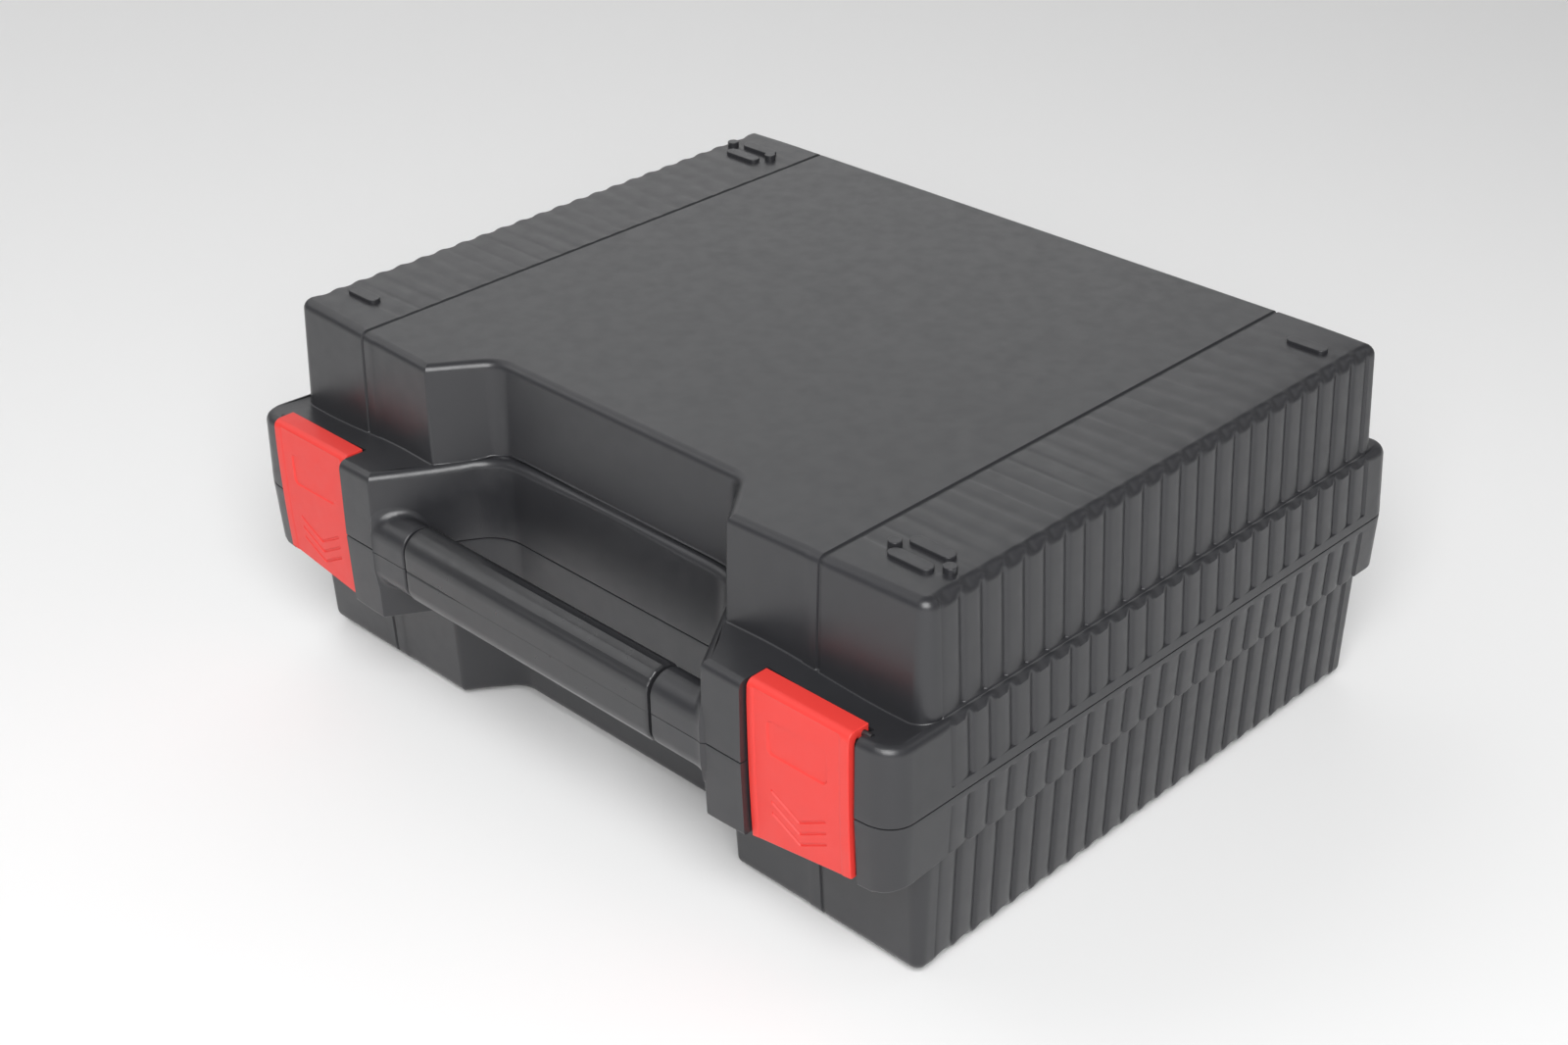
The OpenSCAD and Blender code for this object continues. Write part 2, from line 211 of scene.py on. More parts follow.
OFFS = np.arange(-10.0, 4.01, 0.5)


def cant(x):
    """Front face of a block against the chord across it: square to the case up
    to the latch, then turned back towards the corner."""
    a = np.abs(x)
    return np.interp(a, [92.8, 108, 112.5, 117, 176.4], [0.0, -0.97, -1.22, -1.3, 0.0])


class Curve:
    def __init__(self, V, canted=False):
        stack = []
        for o in OFFS:
            p, n, s = half_curve(offset_vertices(V, float(o)), ARCS, LINES)
            p[0, 0] = p[-1, 0] = 0
            if canted:
                k = s == 6
                p[k, 1] += cant(p[k, 0])
            stack.append(full(p, True))
        self.stack = np.array(stack)
        p, n, s = half_curve(V, ARCS, LINES)
        self.P = self.stack[int(round((0 - OFFS[0]) / 0.5))]
        self.Nn = full(n, True)
        self.S = full(s[:, None], False)[:, 0]

    def at(self, off):
        off = np.broadcast_to(np.asarray(off, float), (len(self.P),))
        t = (off - OFFS[0]) / 0.5
        k = np.clip(np.floor(t).astype(int), 0, len(OFFS) - 2)
        f = (t - k)[:, None]
        i = np.arange(len(self.P))
        return self.stack[k, i] * (1 - f) + self.stack[k + 1, i] * f


WALL_B = [(0, 44, 0), (65, 44, 9), (73.2, 33.4, 14), (79.9, 23.5, 4), (171.6, 23.5, 6), (171.6, 287.2, 4.5), (0, 287.2, 0)]
RIM, WALL_L, INN = Curve(RIM_V, True), Curve(WALL_V), Curve(IN_V)
WALL_D = Curve(WALL_B)
WALL = WALL_L
N = len(RIM.P)
SEG = RIM.S
side = (SEG == 8)
VAL_R = np.where(side, rib_valley(RIM.P[:, 1]), 0.0)
VAL_W = np.where(side, rib_valley(WALL.P[:, 1]), 0.0)
SCA_W = np.where(side, rib_scallop(WALL.P[:, 1]), 0.0)
SCA_R = np.where(side, rib_scallop(RIM.P[:, 1]), 0.0)


def groove(x):
    a = np.abs(np.abs(x) - GX)
    return np.interp(a, [0, 0.6, 1.0], [1.0, 0.85, 0.0])


def step(x):
    return 0.32 * (1 - smooth(117.2, 117.8, np.abs(x)))


WX = WALL.P[:, 0]
GRO = np.where((SEG == 6) | (SEG == 10), groove(WX), 0.0)
# the middle of the front wall stands back a little, fading at the bay corner
STP = np.where(SEG == 6, step(WX), 0.0)
arc5 = np.where(SEG == 5)[0]
for s in (1, -1):
    idx = [i for i in arc5 if WX[i] * s > 0]
    idx.sort(key=lambda i: -abs(WX[i]))
    for j, i in enumerate(idx):
        STP[i] = max(0.0, 0.32 * (1 - (j + 1) / (len(idx))))


def around(bay, flank, front, sides, back):
    """A value for each station, blended along the outline."""
    out = np.zeros(N)
    x, y = np.abs(RIM.P[:, 0]), RIM.P[:, 1]
    for i in range(N):
        s = SEG[i]
        if s <= 1:
            out[i] = bay + (flank - bay) * float(smooth(50, 66, x[i])) * 0.5
        elif s <= 5:
            out[i] = flank + (bay - flank) * 0.5 * (1 - float(smooth(64, 84, x[i])))
        elif s == 6:
            out[i] = flank + (front - flank) * float(smooth(94, 160, x[i]))
        elif s == 7:
            out[i] = front + (sides - front) * float(smooth(0, 12, y[i])) * 0.5
        elif s == 8 and y[i] < 40:
            out[i] = front + (sides - front) * (0.5 + 0.5 * float(smooth(12, 40, y[i])))
        elif s == 8:
            out[i] = sides
        else:
            out[i] = sides + (back - sides) * float(smooth(175, 140, x[i]))
    return out


def ring(P2, h):
    return np.column_stack([P2, np.broadcast_to(np.asarray(h, float), (N,))])


class Loft:
    """Rings of N points; the last two are closed with flat caps."""

    def __init__(self):
        self.base, self.disp = [], []

    def add(self, P3, D=None):
        self.base.append(P3)
        self.disp.append(np.zeros((N, 3)) if D is None else D)


def out_disp(curve, amp, hz=0.0):
    """Displacement of amp along the plan normal and hz along h."""
    amp = np.broadcast_to(np.asarray(amp, float), (N,))
    hz = np.broadcast_to(np.asarray(hz, float), (N,))
    return np.column_stack([curve.Nn * amp[:, None], hz])


RIB_H = 1.1                      # depth of the valleys on the walls
EDGE_RIB = 1.3                   # and over the outer edge of the ledge
TOP_RIB = 0.2                    # and on the flat face
SCALLOP = 1.0                    # dips in the rounded edge above the ribs
SHOULDER = 0.8                   # and in the rounded edge of the lid's rim


def shell_rings(lid):
    """Outer rings from the parting plane to the flat face, then inner ones back."""
    L = Loft()
    WALL = WALL_L if lid else WALL_D
    if lid:
        Ho = around(35.1, 33.2, 31.4, 30.0, 30.0)
        Hi = around(36.8, 33.2, 28.8, 30.6, 30.4)
        draft = around(0.02, 0.012, 0.014, 0.05, 0.06)
    else:
        Ho = around(29.0, 31.4, 28.4, 24.5, 24.8)
        Hi = around(29.0, 30.6, 27.6, 24.7, 25.0)
        draft = around(0.052, 0.026, 0.052, 0.052, 0.052)
    v = VAL_R
    rp = lambda off, h, A=0.0: L.add(ring(RIM.at(off - draft * np.asarray(h, float)), h), out_disp(RIM, -RIB_H * v * A))
    rp(-0.5, 0.22)
    rp(-0.15, 0.27)
    rp(0.0, 0.6)
    if lid:
        rp(0.0, 4.1)
        rp(0.0, 4.35, 0.1)
        rp(0.0, 4.5, 0.85)
        rp(0.0, 4.8, 1.0)
    else:
        rp(0.0, 2.4)
        rp(0.0, 2.8, 0.15)
        rp(0.0, 3.4, 0.8)
        rp(0.0, 4.4, 1.0)
    # width of the ledge between the rim and the wall, station by station
    edge = RIM.at(-draft * Ho)
    wid = np.linalg.norm(edge - WALL.P, axis=1)
    re = np.minimum(3.4 if lid else 1.0, (0.78 if lid else 0.55) * wid)
    rf = np.minimum(0.6 if lid else 1.2, 0.2 * wid)
    rp(0.0, (Ho - re) * 0.5 + 2.5, 1.0)
    rp(0.0, Ho - re, 1.0)
    top_R = None
    for k in range(1, 6):
        a = math.pi / 2 * k / 5
        off = -re * (1 - math.cos(a))
        h = Ho - re + re * math.sin(a)
        A = 1.0
        ca, sa = math.cos(a), math.sin(a)
        if lid:
            dip = SHOULDER * math.sin(2 * a) * SCA_R
            D = np.column_stack([RIM.Nn * (-RIB_H * v * ca ** 3 - dip * ca)[:, None], -dip * sa - 0.35 * SCA_R * sa])
        else:
            D = np.column_stack([RIM.Nn * (-RIB_H * v * (1 - 0.3 * sa))[:, None], -EDGE_RIB * v * sa])
        P = RIM.at(off - draft * Ho)
        L.add(ring(P, h), D)
        top_R = P
    # ledge
    foot = WALL.P + WALL.Nn * rf[:, None]
    for t in (0.3, 0.7):
        P = top_R * (1 - t) + foot * t
        dz = -(0.35 if t < 0.5 else 0.25) * SCA_R if lid else -EDGE_RIB * (0.9 if t < 0.5 else 0.6) * v
        L.add(ring(P, Ho + (Hi - Ho) * t), np.column_stack([np.zeros((N, 2)), dz]))
    wdep = -RIB_H * VAL_W
    for k in range(0, 5):
        a = math.pi / 2 * k / 4
        off = rf * (1 - math.sin(a))
        h = Hi + rf * (1 - math.cos(a))
        s = 1 if k else 0.3
        D = np.column_stack([WALL.Nn * (wdep * math.sin(a) - 1.0 * (GRO * 0.9 + STP) * (k / 4))[:, None], wdep * math.cos(a) * (0.1 if lid else 0.6)])
        L.add(ring(WALL.at(off), h), D)
    # wall with its draft, then the rounded edge of the flat face
    h0 = Hi + rf
    rt = around(3.6, 3.4, 4.0, 4.8, 3.6) if lid else 4.2
    dr = around(1.0, 1.1, 1.8, 1.8, 1.6) if lid else 1.6
    for t in (0.5, 1.0):
        h = h0 + (HALF - rt - h0) * t
        L.add(ring(WALL.at(-dr * t), h), out_disp(WALL, wdep - (GRO * 0.9 + STP)))
    for k in range(1, 7):
        a = math.pi / 2 * k / 6
        off = -dr - rt * (1 - math.cos(a))
        h = HALF - rt + rt * math.sin(a)
        ca, sa = math.cos(a), math.sin(a)
        rib = -RIB_H * ca ** 3 * VAL_W - (SCALLOP * math.sin(2 * a) + TOP_RIB * sa) * SCA_W
        amp = rib * ca - GRO * 0.9 * ca - STP
        L.add(ring(WALL.at(off), np.full(N, h)), np.column_stack([WALL.Nn * amp[:, None], rib * sa - GRO * 0.9 * sa]))
    n_outer = len(L.base)
    # inside
    ceil = HALF - 2.5
    L.add(ring(WALL.at(-dr - 2.5 - 2.5), ceil))
    L.add(ring(WALL.at(-dr - 2.5 - 1.0), ceil - 0.5))
    L.add(ring(WALL.at(-dr - 2.5 - 0.3), ceil - 1.3))
    L.add(ring(WALL.at(-dr - 2.5), ceil - 2.5))
    hi = np.minimum(Ho, Hi) - 2.5
    wi = WALL.at(-2.5)
    L.add(ring(wi, hi + 0.8))
    L.add(ring(WALL.at(-2.2), hi + 0.2))
    mid = (WALL.at(-2.2) + INN.at(0)) / 2
    L.add(ring(mid, hi))
    L.add(ring(INN.at(-0.3), hi))
    L.add(ring(INN.at(0), hi - 0.6))
    if lid:
        L.add(ring(INN.at(0), 0.7))
        L.add(ring(INN.at(0.25), 0.25))
    else:
        L.add(ring(INN.at(0), 6.0))
        L.add(ring(INN.at(-1.8), 4.2))
        L.add(ring(INN.at(-1.8), -2.8))
        L.add(ring(INN.at(-1.6), -3.0))
        L.add(ring(INN.at(-0.7), -3.0))
        L.add(ring(INN.at(-0.5), -2.8))
        L.add(ring(INN.at(-0.4), 0.25))
    return L, n_outer


def build_shell(name, lid):
    L, n_outer = shell_rings(lid)
    nr = len(L.base)
    base = np.concatenate(L.base)
    disp = np.concatenate(L.disp)
    bm = bmesh.new()
    vs = [bm.verts.new(p) for p in base]
    bm.verts.ensure_lookup_table()
    for r in list(range(n_outer - 1)) + list(range(n_outer, nr - 1)):
        for i in range(N):
            j = (i + 1) % N
            bm.faces.new((vs[r * N + i], vs[r * N + j], vs[(r + 1) * N + j], vs[(r + 1) * N + i]))
    for i in range(N):
        j = (i + 1) % N
        bm.faces.new((vs[(nr - 1) * N + i], vs[(nr - 1) * N + j], vs[j], vs[i]))
    top = bm.faces.new([vs[(n_outer - 1) * N + i] for i in range(N)])
    bm.faces.new([vs[n_outer * N + i] for i in range(N)])
    lay = bm.verts.layers.int.new("kind")
    for i, v in enumerate(bm.verts):
        v[lay] = i + 1
    geom = [top] + list(top.edges) + list(top.verts)

    def cut(co, no, faces):
        g = set(faces)
        for f in faces:
            g.update(f.edges)
            g.update(f.verts)
        out = bmesh.ops.bisect_plane(bm, geom=list(g), plane_co=co, plane_no=no, dist=1e-5)
        return [f for f in out["geom"] if isinstance(f, bmesh.types.BMFace)]

    faces = [top]
    for s in (1, -1):
        for x in GXS + [132.0, 140.0, 148.0, 156.0]:
            faces = cut((x * s, 0, 0), (1, 0, 0), faces)
    strip = [f for f in faces if abs(f.calc_center_median().x) > GX + 1.0]
    for y in RY:
        strip = cut((0, float(y), 0), (0, 1, 0), strip)
    for v in bm.verts:
        k = v[lay]
        if k > 0:
            d = disp[k - 1]
            v.co = (v.co.x + d[0], v.co.y + d[1], v.co.z + d[2])
        else:
            x, y = v.co.x, v.co.y
            a = float(smooth(127, 160, abs(x)))
            v.co.z += -TOP_RIB * float(rib_scallop(y)) * a - 0.9 * float(groove(x))
    # from parting-plane heights to the case
    sgn = 1.0 if lid else -1.0
    for v in bm.verts:
        v.co.z = HALF + sgn * v.co.z
    bmesh.ops.recalc_face_normals(bm, faces=bm.faces)
    return to_object(bm, name)


def to_object(bm, name):
    if bm.calc_volume(signed=True) < 0:
        bmesh.ops.reverse_faces(bm, faces=bm.faces)
    me = bpy.data.meshes.new(name)
    bm.to_mesh(me)
    bm.free()
    ob = bpy.data.objects.new(name, me)
    bpy.context.scene.collection.objects.link(ob)
    return ob


# ------------------------------------------------------------ small solids
def loft_mesh(rings, name="cut", caps=True):
    """Closed solid through rings of equal point count (mm, case heights)."""
    bm = bmesh.new()
    V = [[bm.verts.new(p) for p in r] for r in rings]
    n = len(rings[0])
    for a, b in zip(V[:-1], V[1:]):
        for i in range(n):
            j = (i + 1) % n
            bm.faces.new((a[i], a[j], b[j], b[i]))
    if caps:
        bm.faces.new(V[0][::-1])
        bm.faces.new(V[-1])
    bmesh.ops.recalc_face_normals(bm, faces=bm.faces)
    return to_object(bm, name)


def rrect(x0, x1, y0, y1, r, n=4):
    """Rounded rectangle in 2D, anticlockwise."""
    out = []
    r = max(r, 1e-3)
    for cx, cy, a0 in ((x1 - r, y0 + r, -90), (x1 - r, y1 - r, 0), (x0 + r, y1 - r, 90), (x0 + r, y0 + r, 180)):
        for k in range(n + 1):
            a = math.radians(a0 + 90 * k / n)
            out.append((cx + r * math.cos(a), cy + r * math.sin(a)))
    return out


def box_round(x0, x1, y0, y1, z0, z1, r=0.0, axis="z", e0=0.0, e1=0.0, ne=3, n=4):
    """Box with rounded edges along one axis; e0, e1 round its two end faces
    (negative values flare them outwards, for cutters)."""
    ax = "xyz".index(axis)
    lo, hi = [x0, y0, z0], [x1, y1, z1]
    u, w = [k for k in range(3) if k != ax]
    rings = []

    def sect(t, g):
        pts = []
        for a, b in rrect(lo[u] + g, hi[u] - g, lo[w] + g, hi[w] - g, max(r - g, 0.05), n):
            p = [0, 0, 0]
            p[ax], p[u], p[w] = t, a, b
            pts.append(p)
        return pts

    def end(t, s, e):
        out = []
        m = abs(e)
        if m < 1e-6:
            return [sect(t, 0)]
        for k in range(ne + 1):
            a = math.pi / 2 * k / ne
            g = m * (1 - math.sin(a))
            out.append(sect(t + s * m * (1 - math.cos(a)), g if e > 0 else -m * (1 - math.sin(a))))
        return out

    rings += end(lo[ax], 1, e0)
    rings += end(hi[ax], -1, e1)[::-1]
    return loft_mesh(rings)


def rod(x0, x1, y, z, r, n=24, e=0.0):
    rings = []

    def c(x, rr):
        return [(x, y + rr * math.cos(2 * math.pi * k / n), z + rr * math.sin(2 * math.pi * k / n)) for k in range(n)]

    if e:
        rings = [c(x0, r - e), c(x0 + e * 0.3, r - e * 0.3), c(x0 + e, r), c(x1 - e, r), c(x1 - e * 0.3, r - e * 0.3), c(x1, r - e)]
    else:
        rings = [c(x0, r), c(x1, r)]
    return loft_mesh(rings)


def mirrored(make):
    """The same solid on the right and on the left."""
    a = make()
    b = make()
    b.data.transform(Matrix.Scale(-1, 4, (1, 0, 0)))
    b.data.flip_normals()
    return [a, b]


def boolean(ob, cutters, op):
    """Applies one boolean with each solid, then drops the solids."""
    for c in cutters:
        m = ob.modifiers.new("b", "BOOLEAN")
        m.operation = op
        m.object = c
        try:
            m.solver = "MANIFOLD"
        except TypeError:
            m.solver = "EXACT"
        dg = bpy.context.evaluated_depsgraph_get()
        me = bpy.data.meshes.new_from_object(ob.evaluated_get(dg))
        ob.modifiers.remove(m)
        if len(me.polygons) < 4:
            print("BOOLEAN FAILED", ob.name, op)
        old = ob.data
        ob.data = me
        bpy.data.meshes.remove(old)
    for c in cutters:
        me = c.data
        bpy.data.objects.remove(c)
        bpy.data.meshes.remove(me)
    return ob


def finish_mesh(ob, angle=35.0, weighted=True, bevel=0.0, bevel_angle=40.0, segs=2):
    """Smooth shading with sharp edges kept, optional small bevel, frame metres."""
    co = np.zeros(len(ob.data.vertices) * 3)
    ob.data.vertices.foreach_get("co", co)
    ob.data.vertices.foreach_set("co", case(co.reshape(-1, 3)).ravel())
    for p in ob.data.polygons:
        p.use_smooth = True
    if bevel:
        b = ob.modifiers.new("edge", "BEVEL")
        b.width = bevel * 0.001
        b.segments = segs
        b.limit_method = "ANGLE"
        b.angle_limit = math.radians(bevel_angle)
        b.harden_normals = False
        dg = bpy.context.evaluated_depsgraph_get()
        me = bpy.data.meshes.new_from_object(ob.evaluated_get(dg))
        ob.modifiers.remove(b)
        old = ob.data
        ob.data = me
        bpy.data.meshes.remove(old)
    ob.data.set_sharp_from_angle(angle=math.radians(angle))
    if weighted:
        w = ob.modifiers.new("normals", "WEIGHTED_NORMAL")
        w.mode = "FACE_AREA"
        w.weight = 50
        w.keep_sharp = True
    ob.data.update()
    return ob


# --------------------------------------------------------- handle section
GY, GZ = 6.6, -0.6               # middle of the section: depth, height from the parting plane
GHW, GHH, GR = 8.5, 15.4, 8.4    # half depth, half height, corner radius


def half_section(upper, grow_fn, hcut=0.15):
    """Upper or lower half of the section, closed along the parting plane.
    Returns points from the back to the front; h is up."""
    s = 1.0 if upper else -1.0
    pts = []
    for cy, a0 in ((GY + GHW - GR, 0), (GY - GHW + GR, 90)):
        for k in range(10):
            a = math.radians(a0 + 90 * k / 9)
            ny, nh = math.cos(a), math.sin(a)
            g = grow_fn(ny, nh)
            pts.append((cy + (GR + g) * ny, (GHH - GR) + (GR + g) * nh + GZ * s))
    g1, g0 = grow_fn(1, 0), grow_fn(-1, 0)
    pts = [(GY + GHW + g1, hcut)] + pts + [(GY - GHW - g0, hcut)]
    return [(y, s * h) for y, h in pts]


RING_R, RING_L = 66.5, -72.8     # middles of the two ring gaps
RING_G = 0.65                    # half of a gap


def block_x(y):
    """Inboard side of the front block at depth y (rim outline, right half)."""
    return float(np.interp(y, [-1.3, 20, 33, 41], [92.8, 79.6, 71.0, 65.7]))


def stub(lid, ring):
    """Half stub from the ring gap at distance ring into the block, with a flare."""
    fr = 4.2

    def flare(t):
        def g(ny, nh):
            if t >= fr:
                return 0.0
            o = fr - math.sqrt(max(0.0, fr * fr - (fr - t) ** 2))
            return o * (0.12 + 0.88 * float(smooth(-1.0, -0.5, ny)))
        return g

    rings = []
    x0 = ring + RING_G
    for dx, g in ((0.0, -0.9), (0.1, -0.5), (0.35, -0.2), (0.8, 0.0)):
        rings.append([(x0 + dx, y, HALF + h) for y, h in half_section(lid, lambda ny, nh: g)])
    for t in (7.0, fr, 3.0, 2.1, 1.3, 0.7, 0.25, 0.0):
        sec = half_section(lid, flare(t))
        rings.append([(block_x(y) - t, y, HALF + h) for y, h in sec])
    rings.append([(block_x(y) + 4.0, min(max(y, 0.6), 22.5), HALF + h * (0.98 if abs(h) > 1 else 1)) for y, h in half_section(lid, flare(0.0))])
    return loft_mesh(rings)


def stubs(lid):
    b = stub(lid, -RING_L)
    b.data.transform(Matrix.Scale(-1, 4, (1, 0, 0)))
    b.data.flip_normals()
    return [stub(lid, RING_R), b]


# ----------------------------------------------------------------- pads
def pad_bar(x, y, l, z0, z1, lid):
    w = 2.75
    e = 0.35
    return box_round(x - l / 2, x + l / 2, y - w, y + w, z0, z1, r=w - 0.02, e0=0.0 if lid else e, e1=e if lid else 0.0, n=6)


def pad_pin(x, y, z0, z1, lid):
    e = 0.35
    return box_round(x - 2.5, x + 2.5, y - 2.5, y + 2.5, z0, z1, r=2.49, e0=0.0 if lid else e, e1=e if lid else 0.0, n=6)


def pads(lid):
    z0, z1 = (149.0, 152.4) if lid else (-2.0, 1.0)
    zb = 151.4 if lid else z1
    yc = 311.0 / 2
    out = []
    m = 1 if lid else -1
    for t in (0, 1):
        def put(x, y):
            x, y = x * m, y
            return (x, y) if t == 0 else (-x, 2 * yc - y)
        for x, y in ((147.7, 43.3), (147.9, 54.0)):
            X, Y = put(x, y)
            out.append(pad_bar(X, Y, 18.8, z0, zb, lid))
        X, Y = put(-151.2, 46.6)
        out.append(pad_bar(X, Y, 17.4, z0, zb, lid))
        for x, y in ((137, 47.5), (161, 47.5)):
            X, Y = put(x, y)
            out.append(pad_pin(X, Y, z0, z1, lid))
    return out


# --------------------------------------------------------------- knuckles
def knuckle(x0, x1, s):
    """Moulded hinge knuckle with its arm; s = 1 on the lid, -1 on the base."""
    y, r = 301.8, 4.4
    prof = []
    # arm from the rim face, round the barrel
    a0, a1 = (180, -35) if s > 0 else (180, 395)
    for k in range(17):
        a = math.radians(a0 + (a1 - a0) * k / 16)
        prof.append((y + r * math.cos(a), HALF + r * math.sin(a)))
    if s > 0:
        prof = [(296.0, HALF + 12.2)] + [(297.2, HALF + 11.6)] + [(y + r * math.cos(math.radians(a)), HALF + r * math.sin(math.radians(a)))
                for a in range(62, -121, -12)] + [(y - r, HALF + 0.25), (296.0, HALF + 0.25)]
    else:
        prof = [(296.0, HALF - 12.2)] + [(297.2, HALF - 11.6)] + [(y + r * math.cos(math.radians(a)), HALF + r * math.sin(math.radians(a)))
                for a in range(-62, 121, 12)] + [(y - r, HALF - 0.25), (296.0, HALF - 0.25)]
    rings = []
    cy, cz = y - 1.5, HALF + 2.0 * s
    for x, g in ((x0, 0.35), (x0 + 0.12, 0.12), (x0 + 0.4, 0.0), (x1 - 0.4, 0.0), (x1 - 0.12, 0.12), (x1, 0.35)):
        f = 1 - g / 6.0
        rings.append([(x, cy + (py - cy) * f, cz + (pz - cz) * f) for py, pz in prof])
    return loft_mesh(rings)


# ------------------------------------------------------------- both shells
LX, LW = 135.7, 23.4             # middle and half width of a latch
PX0, PX1 = 111.6, 160.4          # sides of its pocket
PY, PZ = 9.0, 105.7              # latch pin
LF = 1.5                         # face of a latch behind the front line


def pocket(z0, z1):
    """Latch pocket through the rim face."""
    return lambda: box_round(PX0, PX1, -4, LF + 4.4, z0, z1, r=0.3, axis="y")


def build_lid():
    ob = build_shell("lid_shell_visual", True)
    add = []
    add += stubs(True)
    add += mirrored(lambda: knuckle(86.0, 104.0, 1))
    add += pads(True)
    boolean(ob, add, "UNION")
    cut = []
    cut += mirrored(pocket(70, 112))
    cut += mirrored(lambda: box_round(PX0, PX1, -4, 12.9, 102.4, 112, r=0.6, axis="z"))
    cut += mirrored(lambda: box_round(LX - 15, LX + 15, 7.5, 21.5, 70, 99, r=0.8, axis="z"))
    cut += mirrored(lambda: box_round(97, LX - 17, 7.5, 21.5, 70, 99, r=0.8, axis="z"))
    cut += mirrored(lambda: box_round(LX + 17, 168.6, 7.5, 21.5, 70, 99, r=0.8, axis="z"))
    cut += mirrored(lambda: rod(62, 87, GY, 72.2, 6.0))
    boolean(ob, cut, "DIFFERENCE")
    finish_mesh(ob, angle=32)
    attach(ob, "lid")
    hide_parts("lid_shell")
    return ob


def build_base():
    ob = build_shell("base_shell_visual", False)
    add = []
    add += stubs(False)
    add += mirrored(lambda: knuckle(73.5, 85.5, -1))
    add += mirrored(lambda: knuckle(104.5, 116.5, -1))
    add += pads(False)
    boolean(ob, add, "UNION")
    cut = []
    cut += mirrored(pocket(38, 80))
    cut += mirrored(lambda: box_round(LX - 12, LX + 12, 0, 10, 56.5, 62.0, r=0.3, axis="y"))
    cut += mirrored(lambda: box_round(LX - 15, LX + 15, 7.5, 21.5, 49.5, 80, r=0.8, axis="z"))
    cut += mirrored(lambda: box_round(97, LX - 17, 7.5, 21.5, 49.5, 80, r=0.8, axis="z"))
    cut += mirrored(lambda: box_round(LX + 17, 168.6, 7.5, 21.5, 49.5, 80, r=0.8, axis="z"))
    cut += mirrored(lambda: rod(62, 86, GY, 72.2, 5.5))
    cut += mirrored(lambda: box_round(62, 86, GY - 4.5, GY + 4.5, 72, 80, r=0.3, axis="z"))
    boolean(ob, cut, "DIFFERENCE")
    finish_mesh(ob, angle=32)
    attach(ob, "base")
    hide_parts("base_shell")
    return ob


